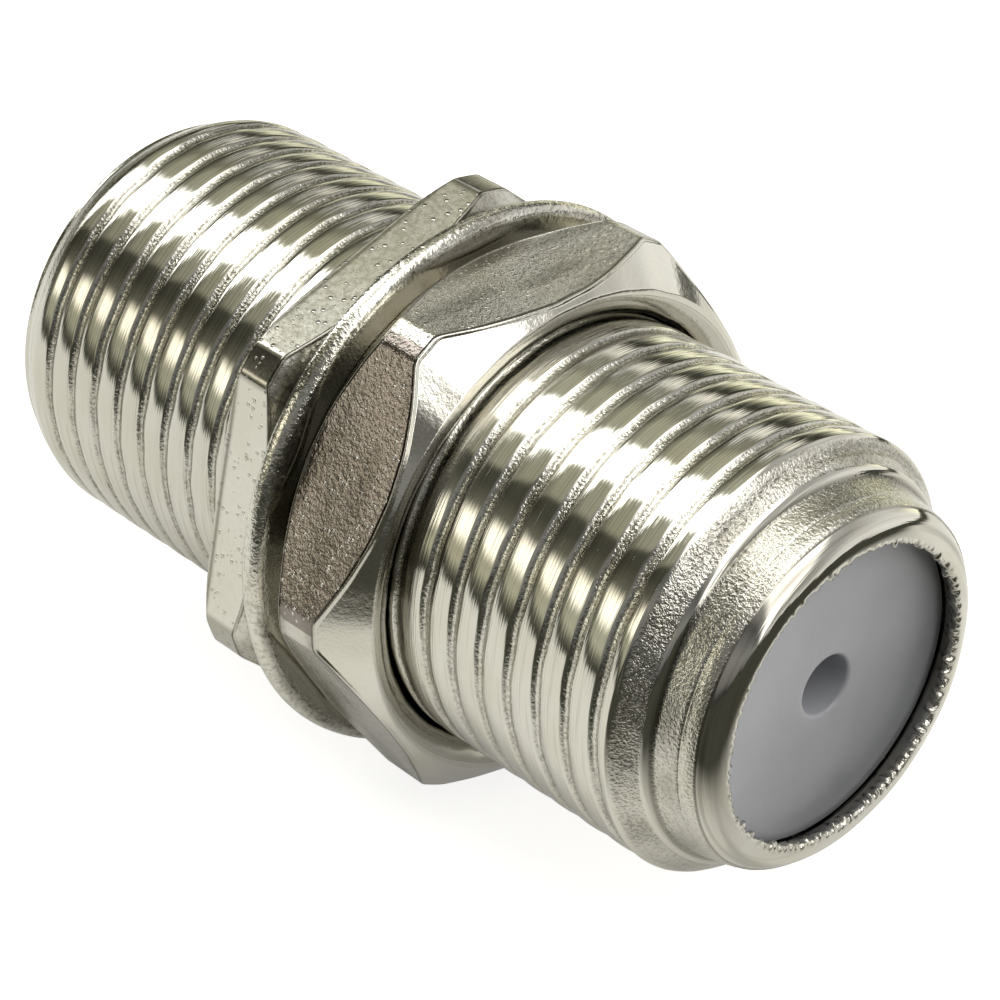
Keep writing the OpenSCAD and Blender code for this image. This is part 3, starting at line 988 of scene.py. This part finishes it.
world = bpy.data.worlds.new("studio")
bpy.context.scene.world = world
world.use_nodes = True
room = world.node_tree
room.nodes.clear()
direction = add(room, "TexCoord").outputs["Generated"]
toward = add(room, "SeparateXYZ", {0: direction})
lean = toward.outputs["X"]
angle = calc(room, "ARCTAN2", toward.outputs["Z"], toward.outputs["Y"])
angle = calc(room, "MULTIPLY", angle, 180 / math.pi)
angle = calc(room, "WRAP", angle, ROOM_START + 360, ROOM_START)
share = calc(room, "DIVIDE", calc(room, "SUBTRACT", angle, ROOM_START), 360.0)


def painted(stops, blue):
    """A ramp over the angle, from (degrees, grey) stops, with less blue than red."""
    ramp = add(room, "ValToRGB", {0: share})
    while len(ramp.color_ramp.elements) < len(stops):
        ramp.color_ramp.elements.new(0.5)
    for element, (degrees, grey) in zip(ramp.color_ramp.elements, stops):
        element.position = (degrees - ROOM_START) / 360
        element.color = (grey, grey * 0.985, grey * blue, 1.0)
    return ramp.outputs["Color"]


ahead = remap(room, lean, -0.25, 0.15, 0.0, 1.0, smooth=True)
light = mixed(room, ahead, painted(SIDE, SIDE_BLUE), painted(FRONT, FRONT_BLUE))
# The room dims a little behind the part, and then more towards its far end
for low, high, most in ((-0.69, -0.57, 0.26), (-0.95, -0.72, 0.6)):
    dimmed = remap(room, lean, low, high, most, 0.0, smooth=True)
    light = mixed(room, dimmed, light, FAR_GREY)
for middle, half, soft, lean_at, lean_half, lean_soft, colour, strength in LAMPS:
    mask = grouped(room, "window", {
        "Angle": angle, "Lean": lean, "Middle": middle, "Half": half, "Soft": soft,
        "Lean middle": lean_at, "Lean half": lean_half, "Lean soft": lean_soft})
    light = mixed(room, mask, light, tuple(c * strength for c in colour) + (1.0,))
path = add(room, "LightPath")
seen = mixed(room, path.outputs["Is Camera Ray"], light, (1.0, 1.0, 1.0, 1.0))
sky = add(room, "Background", {"Color": seen, "Strength": 1.0})
room.links.new(sky.outputs[0], add(room, "OutputWorld").inputs["Surface"])
print("lamps", len(LAMPS))

# %% [markdown]
# ## Floor
#
# The part lies on a white card. Seen by the camera the floor should be plain white, but
# the metal needs something darker to reflect, and the part needs its shadow. So Light
# Path tells the rays apart: the camera sees a glow, and the metal sees a grey card that
# ends near by, with a dark table beyond it.

# %% Floor
FLOOR_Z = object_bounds()[0].z / MM - 0.02
FLOOR_HALF = 1500.0
CARD_WAY = (0.9, -0.43, 0.0)  # along the floor, roughly to the camera
CARD_AHEAD = (10.0, 22.0)  # mm that way between which the card ends
CARD_ROUND = (60.0, 110.0)  # mm from the part between which it ends elsewhere
CARD_GREY = (0.68, 0.675, 0.65, 1.0)
TABLE_GREY = (0.06, 0.06, 0.05, 1.0)
CARD_GLOW = 0.19  # light that mirrored rays find on the card
CARD_SHADE = 0.2  # how much less the card glows to the camera, as it is lit as well


def floor_material():
    """White card under and behind the part, a dark table beyond, plain white to the camera."""
    material = bpy.data.materials.new("white_card")
    material.use_nodes = True
    tree = material.node_tree
    tree.nodes.clear()
    path = add(tree, "LightPath")
    place = add(tree, "TexCoord").outputs["Object"]
    far = add(tree, "VectorMath", {0: place}, operation="LENGTH").outputs["Value"]
    ahead = add(tree, "VectorMath", {0: place, 1: CARD_WAY}, operation="DOT_PRODUCT").outputs["Value"]
    inside = [remap(tree, distance, start * MM, end * MM, 1.0, 0.0, smooth=True)
              for distance, (start, end) in ((ahead, CARD_AHEAD), (far, CARD_ROUND))]
    card = calc(tree, "MULTIPLY", *inside)
    to_camera = calc(tree, "MULTIPLY_ADD", card, -CARD_SHADE, 1.0)
    mirrored = calc(tree, "MAXIMUM", path.outputs["Is Glossy Ray"], path.outputs["Is Transmission Ray"])
    glow = calc(tree, "MULTIPLY", mirrored, calc(tree, "MULTIPLY", card, CARD_GLOW))
    glow = calc(tree, "MULTIPLY_ADD", path.outputs["Is Camera Ray"], to_camera, glow)
    matt = add(tree, "BsdfDiffuse", {"Color": mixed(tree, card, TABLE_GREY, CARD_GREY)})
    shine = add(tree, "Emission", {"Color": (1, 1, 1, 1), "Strength": glow})
    both = add(tree, "AddShader", {0: matt.outputs[0], 1: shine.outputs[0]})
    tree.links.new(both.outputs[0], add(tree, "OutputMaterial").inputs["Surface"])
    return material


floor_mesh = bpy.data.meshes.new("floor")
floor_mesh.from_pydata([(x * FLOOR_HALF * MM, y * FLOOR_HALF * MM, 0.0)
                        for x, y in ((-1, -1), (1, -1), (1, 1), (-1, 1))], [], [(0, 1, 2, 3)])
floor = bpy.data.objects.new("floor", floor_mesh)
floor.location.z = FLOOR_Z * MM
bpy.context.scene.collection.objects.link(floor)
floor.data.materials.append(floor_material())
print("floor at", round(FLOOR_Z, 3), "mm")

# %% [markdown]
# ## Camera
#
# A long lens from above and to the front shows the near face and both barrels. It is
# aimed by a direction, so the part needn't sit in the middle of anything.

# %% Camera
CAMERA_MM = (44.648, -41.024, 40.016)
AIM = (-0.60375, 0.56947, -0.55784)
camera_data = bpy.data.cameras.new("camera")
camera_data.lens = 123.37
camera_data.sensor_width = 36.0
camera_data.clip_start = 0.001
camera = bpy.data.objects.new("camera", camera_data)
camera.location = Vector(CAMERA_MM) * MM
camera.rotation_mode = "QUATERNION"
camera.rotation_quaternion = Vector(AIM).to_track_quat("-Z", "Y")
bpy.context.scene.collection.objects.link(camera)
bpy.context.scene.camera = camera
bpy.context.scene.view_settings.view_transform = "Standard"
print("lens", camera_data.lens, "mm")
